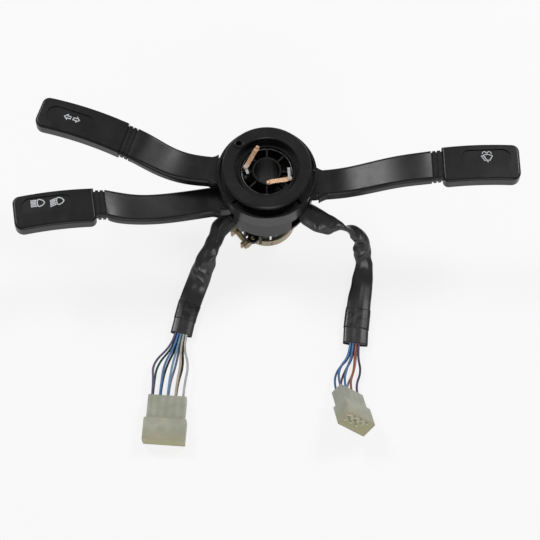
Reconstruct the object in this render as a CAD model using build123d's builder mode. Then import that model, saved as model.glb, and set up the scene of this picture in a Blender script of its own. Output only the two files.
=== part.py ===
from build123d import *
import math
import os

os.makedirs("parts", exist_ok=True)

# A steering-column combination switch: a round hub clamped to the column tube, a cancelling ring
# that turns with the steering wheel, three stalks in a gimbal each, and two wire tails.
# Millimetres. +Z runs up the steering column towards the wheel, +X to the driver's right.
# The origin is on the column's axis, at the bottom of the clamp band.

# ---------------------------------------------------------------- driving dimensions
running = 0.3          # gap between bodies that move past each other
fit = 0.02             # radial clearance of a part seated in its own hole
pivot_fit = 0.05       # radial clearance of a turning pin or trunnion

tube_r = 20.5          # the column tube that the collar grips
collar_wall = 1.9
collar_height = 50.2   # from the clamp's bottom to the collar's flange
flange_t = 2.8
flange_r = 36.6
collar_slits = 6
slit_width = 1.6
slit_height = 30.0

band_t = 1.6
band_height = 9.6
ear_gap = 12.0
ear_reach = 10.5
ear_heading = 218.0
clamp_screw_r = 2.4

floor_t = 2.5
lower_height = 23.0
upper_height = 18.3
shell_wall = 2.0
lower_r = 37.5
upper_r_bottom = 39.0
upper_r_top = 40.0
seam_groove = 1.4
deck_t = 1.6
deck_drop = 0.8        # how far the deck sits below the seam
roof_t = 1.8
roof_drop = 2.5        # from the rim down to the roof's top face

shaft_r = 10.2         # bore for the steering shaft
hub_wall = 1.7
hub_above_rim = 4.4
spoke_t = 1.4
spokes = 8
spoke_height = 6.3
contact_ring_r = 23.0
contact_ring_wall = 1.8
contact_ring_above_rim = 3.2

disc_r = 35.5
disc_hole_r = 25.5
disc_t = 3.0
disc_above_rim = 10.7
disc_lip = 4.5
skirt_wall = 1.8
skirt_above_roof = 2.0
bush_radius = 29.9
bush_heading = 137.7
bush_r = 4.0
bush_hole_r = 2.1
bush_collar = 1.2

screw_r = 1.5
screw_head_r = 2.8
screw_head_t = 2.0
screw_circle = 33.2
screw_headings = (62.0, 118.0, 282.0)
post_r = 3.0

root_width = 23.0      # stalk root, across
root_t = 12.0
boss_width = 22.0      # stalk root inside the housing
boss_t = 9.8
carrier_width = 11.6
carrier_t = 10.0
carrier_back = 6.0
carrier_front = 7.5
tail_reach = 13.0
tail_width = 7.0
tail_t = 4.4
trunnion_r = 3.0
tip_pin_r = 1.5
plunger_r = 1.4
plunger_length = 6.0
plunger_proud = 1.4
detent_gap = 0.35

sleeve_r = 6.0
wire_r = 0.95
cavity_pitch = 6.3
connector_t = 14.8
connector_step = 1.55
left_length = 38.0
right_length = 36.0
shroud_length = 18.5
connector_wall = 1.4
mouth_depth = 9.0

# ---------------------------------------------------------------- levels up the column
floor_bottom = collar_height + flange_t
floor_top = floor_bottom + floor_t
seam = floor_bottom + lower_height
rim = seam + upper_height
deck_bottom = seam - deck_drop
deck_top = deck_bottom + deck_t
roof_top = rim - roof_drop
roof_bottom = roof_top - roof_t
disc_top = rim + disc_above_rim
skirt_bottom = roof_top + skirt_above_roof
upper_level = (deck_top + roof_bottom) / 2 - 0.2
lower_level = deck_bottom - (upper_level - deck_top) - 1.4
hub_r = shaft_r + hub_wall
hub_top = rim + hub_above_rim
ring_top = rim + contact_ring_above_rim


def around(radius, heading, z=0.0):
    """The point at a radius and heading (degrees) about the column."""
    a = math.radians(heading)
    return (radius * math.cos(a), radius * math.sin(a), z)


def bearing_of(place):
    """The heading of a place about the column."""
    return math.degrees(math.atan2(place[1], place[0]))


def heading_plane(origin, heading):
    """A plane lying flat at origin, with its X axis along a heading."""
    return Plane(origin=origin, x_dir=around(1, heading), z_dir=(0, 0, 1))


def save(piece, name):
    piece.label = name
    export_step(piece, f"parts/{name}.step")
    return piece


# ---------------------------------------------------------------- the three stalks
class Stalk:
    """One stalk's place: its gimbal's centre, the way its root points, its swing and its shape."""

    def __init__(self, name, pivot, level, heading, swing, spine, neck, grip, pad):
        self.name = name
        self.plane = heading_plane((pivot[0], pivot[1], level), heading)
        self.level = level
        self.swing = swing
        self.spine = spine
        self.neck = neck
        self.grip = grip
        self.pad = pad
        # 1 where the stalk's own Y axes run to its upper edge, -1 where they run to its lower edge
        self.upper = 1 if self.plane.y_dir.Y > 0 else -1


turn = Stalk(
    "turn", (-27.3, 3.7), upper_level, 172.0, 12.0,
    spine=((-60.0, 7.5, 0.8), (-82.0, 12.5, 6.0)),
    neck=dict(width=27.0, shift=0.0),
    grip=dict(start=(-114.6, 26.9, 14.3), end=(-183.0, 49.4, 17.6), bow=-2.2, width=27.4, heel=0.0),
    pad=dict(shift=1.2, lean=1.5),
)
light = Stalk(
    "light", (-26.0, -10.6), lower_level, 189.5, 9.0,
    spine=((-58.0, -16.2, 0.6), (-84.0, -21.8, 5.0), (-108.0, -24.4, 10.4)),
    neck=dict(width=24.0, shift=2.0),
    grip=dict(start=(-136.6, -25.6, 16.4), end=(-200.3, -35.5, 19.6), bow=-1.6, width=29.5, heel=5.0),
    pad=dict(shift=4.6, lean=4.0),
)
wiper = Stalk(
    "wiper", (27.3, -6.8), upper_level, 3.5, 14.0,
    spine=((60.0, -4.5, 0.8), (84.0, -2.6, 8.0), (112.0, -0.8, 17.4)),
    neck=dict(width=25.8, shift=1.3),
    grip=dict(start=(138.6, -0.6, 21.6), end=(199.5, 0.9, 22.6), bow=1.4, width=30.8, heel=4.5),
    pad=dict(shift=4.4, lean=4.0),
)
stalks = (turn, light, wiper)

# how far a stalk's window and its flare stand from the gimbal's centre
window_half = root_width / 2 + 14.5 * math.sin(math.radians(14.0)) + 0.4
flare_back = 13.4
flare_half = 14.2


def window(stalk, low):
    """The outline, at the level low, of the opening in the housing's wall that a stalk swings in."""
    with BuildSketch(stalk.plane.offset(low - stalk.level)) as outline:
        with Locations((11, 0)):
            Rectangle(26, 2 * window_half)
    return outline.sketch


# ---------------------------------------------------------------- column collar and clamp
collar_r = tube_r + collar_wall
duct_heading = 218.0
duct_bottom = collar_height - 13.6
duct_level = collar_height - 7.0
duct_end = 33.4
lug_heading = 242.0

with BuildPart() as column_collar:
    with BuildSketch(Plane.XZ):
        with BuildLine():
            Polyline(
                (tube_r, 0), (collar_r, 0), (collar_r, collar_height - 3),
                (collar_r + 3, collar_height), (flange_r, collar_height),
                (flange_r, collar_height + flange_t), (shaft_r + 1.2, collar_height + flange_t),
                (shaft_r + 1.2, collar_height), (tube_r, collar_height), close=True,
            )
        make_face()
    revolve(axis=Axis.Z)
    with BuildSketch(Plane.XY):
        with PolarLocations((tube_r + collar_r) / 2, collar_slits, start_angle=38):
            Rectangle(2 * collar_wall + 2, slit_width)
    extrude(amount=slit_height, mode=Mode.SUBTRACT)
    # gussets between the tube and the flange
    for heading in (20, 80, 140, 260, 320):
        with BuildSketch(Plane(origin=(0, 0, 0), x_dir=around(1, heading), z_dir=around(1, heading - 90))):
            with BuildLine():
                Polyline(
                    (collar_r - 0.6, collar_height + 0.4), (collar_r - 0.6, collar_height - 14),
                    (flange_r - 5, collar_height + 0.4), close=True,
                )
            make_face()
        extrude(amount=0.9, both=True)
    # the duct that leads the left sleeve out from under the flange
    duct = heading_plane((0, 0, duct_bottom), duct_heading)
    with BuildSketch(duct):
        with Locations(((collar_r + duct_end) / 2 - 0.6, 0)):
            Rectangle(duct_end - collar_r + 1.2, 17)
    extrude(amount=collar_height - duct_bottom + 0.2)
    duct_axis = Plane(origin=around(duct_end, duct_heading, duct_level), z_dir=around(1, duct_heading))
    with BuildSketch(duct_axis):
        Circle(sleeve_r + fit)
    extrude(amount=-(duct_end - collar_r - 1.6), mode=Mode.SUBTRACT)
    with BuildSketch(duct.offset(duct_level - duct_bottom)):
        with Locations((collar_r + 5.6, 0)):
            Rectangle(7, 10)
    extrude(amount=collar_height + flange_t - duct_level + 1, mode=Mode.SUBTRACT)
    # the locating lug beside the clamp's ears
    with BuildSketch(heading_plane((0, 0, band_height + 0.6), lug_heading)):
        with BuildLine():
            Polyline(
                (collar_r - 0.8, -4.5), (collar_r + 2, -4.5), (collar_r + 2, 4.5), (collar_r - 0.8, 4.5),
                close=True,
            )
        make_face()
        with Locations((collar_r + 2.5, 0)):
            Circle(4.5)
        with Locations((collar_r + 3, 0)):
            Circle(1.7, mode=Mode.SUBTRACT)
    extrude(amount=3.4)
    for side in (-1, 1):
        with BuildSketch(heading_plane((0, 0, band_height + 0.6), lug_heading + side * 16)):
            with Locations((collar_r + 2, 0)):
                Rectangle(5.6, 2.4)
        extrude(amount=16)
    for heading in screw_headings:
        with Locations(around(screw_circle, heading, collar_height)):
            Hole(screw_r + fit + 0.1, depth=2 * flange_t)

save(column_collar.part, "column_collar")

band_in = collar_r + 0.05
band_out = band_in + band_t
ear_plane = heading_plane((0, 0, 0), ear_heading)
hole_at = band_in + ear_reach - 5.2
screw_axis = Plane(
    origin=around(hole_at, ear_heading, band_height / 2), x_dir=(0, 0, 1), z_dir=around(1, ear_heading + 90)
)

with BuildPart() as clamp_band:
    with BuildSketch(Plane.XY):
        Circle(band_out)
        Circle(band_in, mode=Mode.SUBTRACT)
    extrude(amount=band_height)
    with BuildSketch(ear_plane):
        with Locations((band_out, 0)):
            Rectangle(12, ear_gap)
    extrude(amount=band_height, mode=Mode.SUBTRACT)
    for side in (-1, 1):
        with BuildSketch(ear_plane):
            with Locations((band_in - 1.2 + (ear_reach + 1.4) / 2, side * (ear_gap + band_t) / 2)):
                Rectangle(ear_reach + 1.4, band_t)
            Circle(band_in, mode=Mode.SUBTRACT)
        extrude(amount=band_height)
    with BuildSketch(screw_axis):
        Circle(clamp_screw_r + 0.15)
    extrude(amount=30, both=True, mode=Mode.SUBTRACT)
    with BuildSketch(Plane.XZ.offset(band_in - 3)):
        with Locations((4, band_height / 2)):
            Rectangle(0.8, band_height - 3.4)
    extrude(amount=6, mode=Mode.SUBTRACT)

save(clamp_band.part, "clamp_band")

screw_out = (ear_gap / 2) + band_t
nut_across = 8.0
nut_t = 3.6

with BuildPart() as clamp_screw:
    with BuildSketch(screw_axis.offset(-screw_out - 6.0)):
        Circle(clamp_screw_r)
    extrude(amount=2 * screw_out + 6.0)
    with BuildSketch(screw_axis.offset(screw_out)):
        RegularPolygon(nut_across / 2, 6, major_radius=False)
    extrude(amount=3.2)
    chamfer(clamp_screw.faces().sort_by(Axis(screw_axis.origin, screw_axis.z_dir))[-1].edges(), 0.4)

save(clamp_screw.part, "clamp_screw")

with BuildPart() as clamp_nut:
    with BuildSketch(screw_axis.offset(-screw_out)):
        RegularPolygon(nut_across / 2, 6, major_radius=False)
        Circle(clamp_screw_r + fit, mode=Mode.SUBTRACT)
    extrude(amount=-nut_t)

save(clamp_nut.part, "clamp_nut")

# ---------------------------------------------------------------- lower housing
right_exit = (-58.0, -22.0)
right_exit_bottom = floor_top + 0.6
right_exit_top = right_exit_bottom + 12.6
boss_r = trunnion_r + 2.4

with BuildPart() as lower_housing:
    with BuildSketch(Plane.XZ):
        with BuildLine():
            Polyline(
                (shaft_r + 1.2, floor_bottom), (lower_r, floor_bottom), (lower_r, seam - seam_groove),
                (lower_r - shell_wall, seam - seam_groove), (lower_r - shell_wall, floor_top),
                (hub_r + 2.2, floor_top), (hub_r + 2.2, floor_top + 3), (hub_r + fit, floor_top + 3),
                (hub_r + fit, floor_top - 1), (shaft_r + 1.2, floor_top - 1), close=True,
            )
        make_face()
    revolve(axis=Axis.Z)
    fillet(
        lower_housing.edges().filter_by(GeomType.CIRCLE).group_by(Axis.Z)[0].sort_by(SortBy.RADIUS)[-1:], 0.8
    )
    # stiffening ribs down the inside of the wall
    for heading in (35, 90, 150, 262, 345):
        with BuildSketch(heading_plane((0, 0, floor_top), heading)):
            with Locations((lower_r - shell_wall - 1.0, 0)):
                Rectangle(3, 1.2)
        extrude(amount=lower_height - floor_t - seam_groove)
    # the bearing boss under the light stalk's gimbal
    with BuildSketch(light.plane.offset(floor_top - light.level)):
        Circle(boss_r)
    extrude(amount=light.level - carrier_t / 2 - running - floor_top)
    with BuildSketch(light.plane.offset(-carrier_t / 2 - running - 4.4)):
        Circle(trunnion_r + pivot_fit)
    extrude(amount=5, mode=Mode.SUBTRACT)
    light_sill = light.level - root_t / 2 - 0.6
    extrude(window(light, light_sill), amount=seam + 1 - light_sill, mode=Mode.SUBTRACT)
    # the cable outlet in the wall, and the way down into the duct
    with BuildSketch(Plane.XY.offset(right_exit_bottom)):
        with BuildLine():
            mid = sum(right_exit) / 2
            Line(around(30, right_exit[0]), around(42, right_exit[0]))
            ThreePointArc(around(42, right_exit[0]), around(42, mid), around(42, right_exit[1]))
            Line(around(42, right_exit[1]), around(30, right_exit[1]))
            ThreePointArc(around(30, right_exit[1]), around(30, mid), around(30, right_exit[0]))
        make_face()
    extrude(amount=right_exit_top - right_exit_bottom, mode=Mode.SUBTRACT)
    with BuildSketch(heading_plane((0, 0, floor_bottom - 1), duct_heading)):
        with Locations((collar_r + 5.6, 0)):
            Rectangle(7, 10)
    extrude(amount=floor_t + 2, mode=Mode.SUBTRACT)
    for heading in screw_headings:
        with BuildSketch(Plane.XY.offset(floor_bottom - 1)):
            with Locations(around(screw_circle, heading)):
                Circle(screw_r + fit + 0.1)
        extrude(amount=floor_t + 2, mode=Mode.SUBTRACT)

save(lower_housing.part, "lower_housing")

# ---------------------------------------------------------------- upper housing
ledge_t = 1.4
ledge_r = upper_r_top - shell_wall - 2.0
spigot_r = lower_r - shell_wall - 0.2
groove_bottom = seam - seam_groove + fit

with BuildPart() as upper_housing:
    with BuildSketch(Plane.XZ):
        with BuildLine():
            Polyline(
                (hub_r + 0.25, deck_bottom), (spigot_r, deck_bottom), (spigot_r, groove_bottom),
                (lower_r - 0.6, groove_bottom), (lower_r - 0.6, seam), (upper_r_bottom, seam),
                (upper_r_top, rim - 0.5), (upper_r_top - 0.5, rim), (upper_r_top - shell_wall, rim),
                (upper_r_top - shell_wall, roof_bottom), (ledge_r, roof_bottom),
                (ledge_r, roof_bottom - ledge_t),
                (upper_r_bottom - shell_wall + 0.2, roof_bottom - ledge_t - 2),
                (upper_r_bottom - shell_wall, deck_top),
                (hub_r + 0.25, deck_top), close=True,
            )
        make_face()
    revolve(axis=Axis.Z)
    for stalk in (turn, wiper):
        sill = stalk.level - root_t / 2 - 0.4
        extrude(window(stalk, sill), amount=roof_bottom + 0.9 - sill, mode=Mode.SUBTRACT)
        with BuildSketch(stalk.plane.offset(deck_bottom - stalk.level - 1)):
            Circle(trunnion_r + pivot_fit)
        extrude(amount=deck_t + 2, mode=Mode.SUBTRACT)
    with BuildSketch(light.plane.offset(deck_bottom - light.level - 1)):
        Circle(trunnion_r + pivot_fit)
    extrude(amount=deck_t + 2, mode=Mode.SUBTRACT)
    # posts that take the screws, down to the floor and up to the roof
    for heading in screw_headings:
        with BuildSketch(Plane.XY.offset(floor_top + fit)):
            with Locations(around(screw_circle - 1.4, heading)):
                Circle(post_r)
        extrude(amount=roof_bottom - floor_top - 2 * fit)
        with BuildSketch(Plane.XY.offset(floor_top - 1)):
            with Locations(around(screw_circle, heading)):
                Circle(screw_r + fit)
        extrude(amount=12.5, mode=Mode.SUBTRACT)

save(upper_housing.part, "upper_housing")

# ---------------------------------------------------------------- bearing ring, the roof of the gimbals
roof_hole_r = contact_ring_r + 0.4
roof_out_r = upper_r_top - shell_wall - 0.25

with BuildPart() as bearing_ring:
    with BuildSketch(Plane.XY.offset(roof_bottom)):
        Circle(roof_out_r)
        Circle(roof_hole_r, mode=Mode.SUBTRACT)
        for stalk in (turn, wiper):
            with Locations((stalk.plane.origin.X, stalk.plane.origin.Y)):
                Circle(trunnion_r + pivot_fit, mode=Mode.SUBTRACT)
    extrude(amount=roof_t)
    # the thin radial ribs that show between the disc and the rim
    rib_in = disc_hole_r + skirt_wall + 3.4
    for heading in (18, 52, 90, 128, 222, 250, 272, 292, 318):
        with BuildSketch(heading_plane((0, 0, roof_top - 0.1), heading)):
            with Locations(((rib_in + roof_out_r) / 2, 0)):
                Rectangle(roof_out_r - rib_in, 1.0)
        extrude(amount=2.2)

save(bearing_ring.part, "bearing_ring")

# ---------------------------------------------------------------- contact carrier, the spoked hub
seat_t = 1.5
bearing_r = disc_hole_r - 0.12
ring_in_r = contact_ring_r - contact_ring_wall
ring_bottom = roof_bottom + 0.2
spoke_top = hub_top - 2.2
detent_arc = tail_reach + plunger_proud + detent_gap
outer_rivet = (-16.8, 2.8)
inner_rivet = (18.0, -7.2)
pad_top = hub_top - 0.5
pad_r = 2.3
notch_r = 1.3
clip_r = 0.6
clip_ring_r = ring_in_r - 1.2


def detent_face(stalk):
    """The stepped block on the hub tube that a stalk's plunger clicks over."""
    with BuildPart() as block:
        with BuildSketch(stalk.plane.offset(-tail_t / 2 - 0.2)):
            with Locations((-19.0, 0)):
                Rectangle(14, 12)
            Circle(detent_arc, mode=Mode.SUBTRACT)
            for step in (-1, 0, 1):
                a = math.radians(step * stalk.swing)
                with Locations((-detent_arc * math.cos(a), -detent_arc * math.sin(a))):
                    Circle(notch_r, mode=Mode.SUBTRACT)
        extrude(amount=tail_t + 0.4)
        with BuildSketch(Plane.XY):
            Circle(hub_r + 4.6)
            Circle(hub_r - 0.4, mode=Mode.SUBTRACT)
        extrude(amount=rim, mode=Mode.INTERSECT)
    return block.part


with BuildPart() as contact_carrier:
    with BuildSketch(Plane.XZ):
        with BuildLine():
            Polyline(
                (shaft_r, floor_top - 0.9), (hub_r, floor_top - 0.9), (hub_r, hub_top - 0.6),
                (hub_r - 0.6, hub_top), (shaft_r, hub_top), close=True,
            )
        make_face()
        with BuildLine():
            Polyline(
                (ring_in_r, ring_bottom), (contact_ring_r, ring_bottom), (contact_ring_r, roof_top + fit),
                (disc_hole_r + 0.9, roof_top + fit), (disc_hole_r + 0.9, roof_top + seat_t),
                (bearing_r, roof_top + seat_t + 0.2), (bearing_r, roof_top + 4.6),
                (contact_ring_r, roof_top + 4.6), (contact_ring_r, ring_top), (ring_in_r, ring_top),
                close=True,
            )
        make_face()
    revolve(axis=Axis.Z)
    # spokes, with the step that the retaining ring lies in
    for index in range(spokes):
        with BuildSketch(heading_plane((0, 0, spoke_top - spoke_height), 90 + index * 360 / spokes)):
            with Locations(((hub_r + ring_in_r) / 2, 0)):
                Rectangle(ring_in_r - hub_r + 1.0, spoke_t)
        extrude(amount=spoke_height)
    with BuildSketch(Plane.XY.offset(spoke_top - 2 * clip_r)):
        Circle(ring_in_r)
        Circle(clip_ring_r - clip_r - 0.3, mode=Mode.SUBTRACT)
    extrude(amount=2 * clip_r + 0.1, mode=Mode.SUBTRACT)
    # the posts that the two horn fingers are riveted to
    for place in (outer_rivet, inner_rivet):
        heading = bearing_of(place)
        reach = math.hypot(*place)
        with BuildSketch(Plane.XY.offset(spoke_top - spoke_height)):
            with Locations(place):
                Circle(pad_r)
        extrude(amount=pad_top - spoke_top + spoke_height)
        with BuildSketch(heading_plane((0, 0, spoke_top - spoke_height), heading)):
            with Locations(((reach + ring_in_r) / 2 + 0.4, 0)):
                Rectangle(ring_in_r - reach + 0.8, 2.0)
        extrude(amount=spoke_height - 2 * clip_r)
        with BuildSketch(Plane.XY.offset(pad_top - 3.6)):
            with Locations(place):
                Circle(0.85)
        extrude(amount=4, mode=Mode.SUBTRACT)
    # detent faces on the hub tube, one for each stalk's plunger
    for stalk in stalks:
        add(detent_face(stalk))
    # room for the cancelling pawl under the bearing face
    with BuildSketch(turn.plane.offset(roof_top - turn.level)):
        with Locations((0.8, 0)):
            Rectangle(10.4, 12)
    extrude(amount=2.0, mode=Mode.SUBTRACT)

save(contact_carrier.part, "contact_carrier")

clip_gap = 24.0

with BuildPart() as retaining_ring:
    with BuildSketch(Plane(origin=(clip_ring_r, 0, spoke_top - clip_r), z_dir=(0, 1, 0))):
        Circle(clip_r)
    revolve(axis=Axis.Z, revolution_arc=360 - clip_gap)

save(retaining_ring.part.rotate(Axis.Z, bearing_of(inner_rivet) + clip_gap / 2), "retaining_ring")

# ---------------------------------------------------------------- horn fingers and their terminals
finger_t = 0.35
finger_w = 3.6
finger_tip_w = 2.8
eye_r = 2.0
rivet_r = 0.8
rivet_head_r = 1.5
terminal_t = 0.5
terminal_w = 2.2
finger_rise = 7.1
tip_r = 1.55
outer_tip = (-7.4, 17.2)
inner_tip = (1.0, -13.5)
eye_level = pad_top + terminal_t + 0.15


def finger_plane(rivet, tip, level):
    """The upright plane through a finger's length, with X from its rivet to its tip."""
    along = Vector(tip[0] - rivet[0], tip[1] - rivet[1], 0).normalized()
    return Plane(origin=(rivet[0], rivet[1], level), x_dir=along, z_dir=(along.Y, -along.X, 0))


def make_finger(rivet, tip):
    """A leaf of phosphor bronze: a flat eye, a long slope up to the slip ring and a domed tip."""
    reach = math.dist(rivet, tip)
    side = finger_plane(rivet, tip, eye_level)
    slope_end = reach - 3.2
    with BuildPart() as finger:
        with BuildSketch(side):
            with BuildLine():
                Polyline(
                    (0, 0), (3.0, 0), (slope_end, finger_rise - 1.7), (reach, finger_rise - 2.2),
                    (reach, finger_rise - 2.2 + finger_t), (slope_end, finger_rise - 1.7 + finger_t),
                    (2.9, finger_t), (0, finger_t), close=True,
                )
            make_face()
        extrude(amount=finger_w / 2, both=True)
        with BuildSketch(side):
            with Locations((reach, finger_rise - tip_r)):
                Circle(tip_r)
        extrude(amount=finger_tip_w / 2, both=True)
        fillet(finger.edges().filter_by(GeomType.CIRCLE).filter_by(lambda e: e.radius > tip_r - 0.01), 0.5)
        with BuildSketch(Plane.XY.offset(eye_level)):
            with Locations(rivet):
                Circle(eye_r)
        extrude(amount=finger_t)
        with BuildSketch(Plane.XY.offset(eye_level - 1)):
            with Locations(rivet):
                Circle(rivet_r + 0.12)
        extrude(amount=2, mode=Mode.SUBTRACT)
    return finger.part


outer_finger = save(make_finger(outer_rivet, outer_tip), "outer_horn_finger")
inner_finger = save(make_finger(inner_rivet, inner_tip), "inner_horn_finger")


def make_terminal(rivet, run, drop):
    """A tinned strip held by the finger's rivet, run along the carrier and bent down between two spokes."""
    along = Vector(run[0], run[1], 0)
    length = along.length
    side = finger_plane(rivet, (rivet[0] + run[0], rivet[1] + run[1]), pad_top + fit)
    with BuildPart() as terminal:
        with BuildSketch(side):
            with BuildLine():
                Polyline(
                    (0, 0), (length, 0), (length + 1.6, -drop), (length + 1.6 + terminal_t, -drop),
                    (length + 0.5, terminal_t), (0, terminal_t), close=True,
                )
            make_face()
        extrude(amount=terminal_w / 2, both=True)
        with BuildSketch(Plane.XY.offset(pad_top + fit)):
            with Locations(rivet):
                Circle(eye_r)
        extrude(amount=terminal_t)
        # the rivet's shank and its head over the finger's eye
        with BuildSketch(Plane.XY.offset(pad_top - 3.4)):
            with Locations(rivet):
                Circle(rivet_r)
        extrude(amount=3.4 + terminal_t + 0.15 + finger_t + 0.4)
        with BuildSketch(Plane.XY.offset(eye_level + finger_t + 0.2)):
            with Locations(rivet):
                Circle(rivet_head_r)
        extrude(amount=0.5)
    return terminal.part


save(make_terminal(outer_rivet, (1.6, -5.2), 8.5), "outer_horn_terminal")
save(make_terminal(inner_rivet, (-0.7, 9.2), 5.5), "inner_horn_terminal")

# ---------------------------------------------------------------- cancelling ring
cam_reach = 2.1
cam_height = 3.0
cam_headings = (37.0, 217.0)
cam_width = 5.0

with BuildPart() as cancel_ring:
    with BuildSketch(Plane.XZ):
        with BuildLine():
            Polyline(
                (disc_hole_r, skirt_bottom), (disc_hole_r + skirt_wall, skirt_bottom),
                (disc_hole_r + skirt_wall, disc_top - disc_t), (disc_r - 1.6, disc_top - disc_t),
                (disc_r - 1.6, disc_top - disc_lip), (disc_r - 0.2, disc_top - disc_lip),
                (disc_r, disc_top - 0.8), (disc_r - 0.8, disc_top), (disc_hole_r + 0.5, disc_top),
                (disc_hole_r, disc_top - 0.5), close=True,
            )
        make_face()
    revolve(axis=Axis.Z)
    # the bush that the steering wheel's drive pin enters
    with BuildSketch(Plane.XY.offset(disc_top - disc_t - 3.0)):
        with Locations(around(bush_radius, bush_heading)):
            Circle(bush_r)
    extrude(amount=disc_t + 3.0 + bush_collar)
    fillet(cancel_ring.faces().sort_by(Axis.Z)[-1].edges(), 0.7)
    with BuildSketch(Plane.XY.offset(disc_top - disc_t - 4.0)):
        with Locations(around(bush_radius, bush_heading)):
            Circle(bush_hole_r)
    extrude(amount=disc_t + 6.0, mode=Mode.SUBTRACT)
    # the two cams that push the turn stalk back
    cam_r = disc_hole_r + skirt_wall + cam_reach
    for heading in cam_headings:
        with BuildSketch(heading_plane((0, 0, skirt_bottom), heading)):
            with BuildLine():
                Polyline(
                    (disc_hole_r + 0.6, -cam_width), (cam_r, -cam_width / 3), (cam_r, cam_width / 3),
                    (disc_hole_r + 0.6, cam_width), close=True,
                )
            make_face()
        extrude(amount=cam_height)

save(cancel_ring.part, "cancel_ring")

# ---------------------------------------------------------------- cancelling pawl, on the turn gimbal
pawl_t = 1.2
pawl_level = roof_top + running
pawl_stub_r = 1.5
pawl_travel = 1.5
horn_at = 8.0
horn_in = 1.8

with BuildPart() as cancel_pawl:
    with BuildSketch(turn.plane.offset(pawl_level - turn.level)):
        with BuildLine():
            Polyline(
                (-3.9, -3.0), (2.6, -3.0), (horn_in, -horn_at - 1.2), (horn_in + 2.2, -horn_at - 1.2),
                (6.0, 0), (horn_in + 2.2, horn_at + 1.2), (horn_in, horn_at + 1.2), (2.6, 3.0), (-3.9, 3.0),
                close=True,
            )
        make_face()
        slot_w = 2 * (pawl_stub_r + pivot_fit)
        with Locations((-pawl_travel / 2, 0)):
            SlotOverall(slot_w + pawl_travel, slot_w, mode=Mode.SUBTRACT)
    extrude(amount=pawl_t)
    for side in (-1, 1):
        with BuildSketch(turn.plane.offset(pawl_level - turn.level)):
            with Locations((horn_in + 1.1, side * horn_at)):
                RectangleRounded(2.2, 2.4, 0.4)
        extrude(amount=4.2)

save(cancel_pawl.part, "cancel_pawl")

# ---------------------------------------------------------------- housing screws
with BuildPart() as housing_screws:
    for heading in screw_headings:
        with BuildSketch(Plane.XY.offset(collar_height - screw_head_t)):
            with Locations(around(screw_circle, heading)):
                Circle(screw_head_r)
        extrude(amount=screw_head_t)
        with BuildSketch(Plane.XY.offset(collar_height)):
            with Locations(around(screw_circle, heading)):
                Circle(screw_r)
        extrude(amount=flange_t + floor_t + 11.0)
        with BuildSketch(Plane.XY.offset(collar_height - screw_head_t)):
            with Locations(around(screw_circle, heading)):
                Rectangle(3.0, 0.7)
                Rectangle(0.7, 3.0)
        extrude(amount=1.2, mode=Mode.SUBTRACT)

save(housing_screws.part, "housing_screws")

# ---------------------------------------------------------------- stalk gimbals
plunger_bore_r = plunger_r + fit
plunger_from = -tail_reach - plunger_proud
bore_end = -carrier_back - 0.6
spring_wire_r = 0.22
spring_r = 0.95
spring_turns = 4


def make_carrier(stalk):
    """The gimbal's block: it yaws on two trunnions, carries the tip pin, and holds the detent plunger."""
    low, high = trunnion_reach(stalk)
    with BuildPart() as carrier:
        with BuildSketch(stalk.plane.offset(-carrier_t / 2)):
            with Locations(((carrier_front - carrier_back) / 2, 0)):
                RectangleRounded(carrier_front + carrier_back, carrier_width, 1.6)
        extrude(amount=carrier_t)
        with BuildSketch(stalk.plane.offset(-tail_t / 2)):
            with Locations((-(tail_reach + carrier_back) / 2 + 0.5, 0)):
                Rectangle(tail_reach - carrier_back + 1, tail_width)
        extrude(amount=tail_t)
        with BuildSketch(stalk.plane.offset(low - stalk.level)):
            Circle(trunnion_r)
        extrude(amount=high - low)
        if stalk is turn:
            with BuildSketch(stalk.plane.offset(high - stalk.level)):
                Circle(pawl_stub_r)
            extrude(amount=pawl_level + pawl_t + 0.1 - high)
        with BuildSketch(Plane(origin=stalk.plane.origin, x_dir=stalk.plane.x_dir, z_dir=stalk.plane.y_dir)):
            Circle(tip_pin_r + fit)
        extrude(amount=carrier_width, both=True, mode=Mode.SUBTRACT)
        with BuildSketch(
            Plane(origin=stalk.plane.from_local_coords((-tail_reach, 0, 0)), z_dir=-stalk.plane.x_dir)
        ):
            Circle(plunger_bore_r)
        extrude(amount=-(tail_reach + bore_end), mode=Mode.SUBTRACT)
    return carrier.part


def trunnion_reach(stalk):
    """The lowest and highest points of a gimbal's trunnions."""
    if stalk is light:
        return stalk.level - carrier_t / 2 - 4.0, deck_top - 0.2
    return deck_bottom + 0.1, roof_top - 0.1


def make_tip_pin(stalk):
    """The steel pin across the gimbal that the stalk tips on."""
    across = Plane(origin=stalk.plane.origin, x_dir=stalk.plane.x_dir, z_dir=stalk.plane.y_dir)
    with BuildPart() as pin:
        with BuildSketch(across):
            Circle(tip_pin_r)
        extrude(amount=boss_width / 2 - 0.6, both=True)
        chamfer(pin.edges(), 0.25)
    return pin.part


def make_plunger(stalk):
    """The domed brass plunger that clicks over the detent face on the hub tube."""
    upright = Plane(origin=stalk.plane.origin, x_dir=stalk.plane.x_dir, z_dir=stalk.plane.y_dir)
    nose, back = plunger_from, plunger_from + plunger_length
    half_way = plunger_r * math.sqrt(0.5)
    with BuildPart() as plunger:
        with BuildSketch(upright):
            with BuildLine():
                Polyline((nose, 0), (back, 0), (back, plunger_r), (nose + plunger_r, plunger_r))
                ThreePointArc(
                    (nose + plunger_r, plunger_r), (nose + plunger_r - half_way, half_way), (nose, 0)
                )
            make_face()
        revolve(axis=Axis(stalk.plane.origin, stalk.plane.x_dir))
    return plunger.part


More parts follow.
